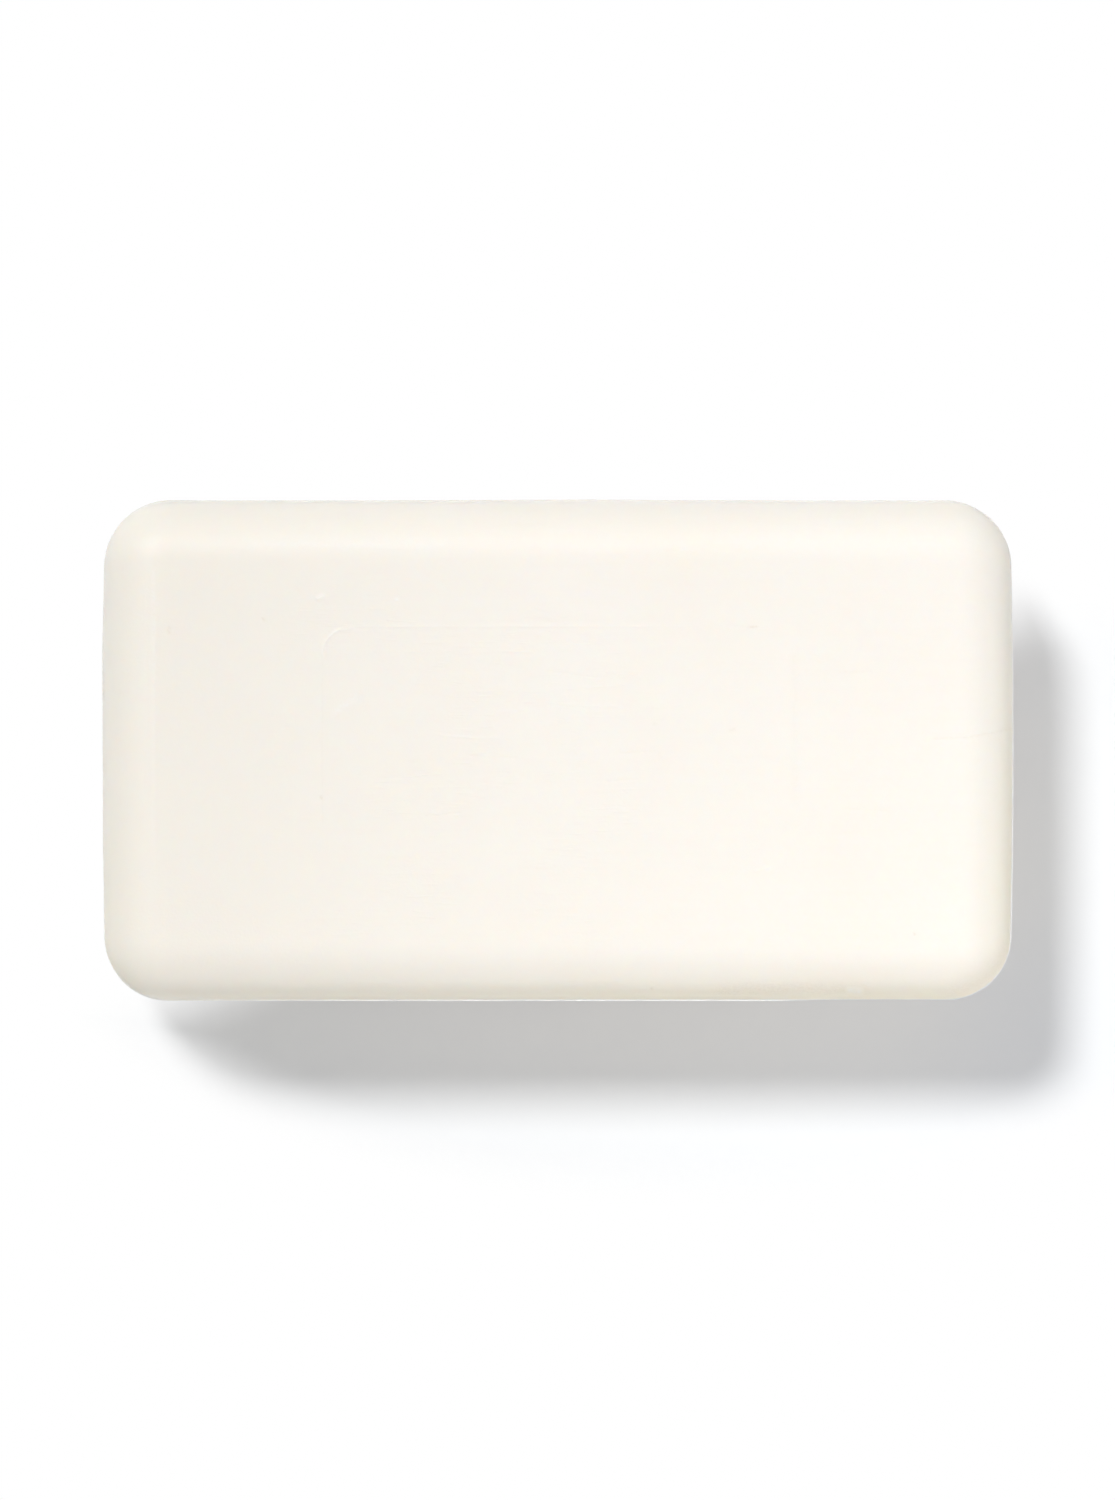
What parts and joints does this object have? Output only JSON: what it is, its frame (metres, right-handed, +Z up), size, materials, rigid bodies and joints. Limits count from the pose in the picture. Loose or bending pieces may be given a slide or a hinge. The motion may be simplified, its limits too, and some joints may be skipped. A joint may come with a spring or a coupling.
{
  "type": "bar of soap",
  "caption": "Rectangular pressed bar of toilet soap with rounded edges and corners, slightly drafted sides, a fine parting ridge and flat faces to rest on.",
  "frame": {"origin": "on the surface that the bar lies on, under the middle of its outline", "axes": "+Z up out of the upper face, X along the bar's length, +Y towards the rear side, whose corners are the rounder ones"},
  "size_m": [0.0962, 0.053, 0.0271],
  "materials": {
    "soap": "satin"
  },
  "bodies": {
    "root": {"soap_bar": "soap"}
  },
  "joints": []
}
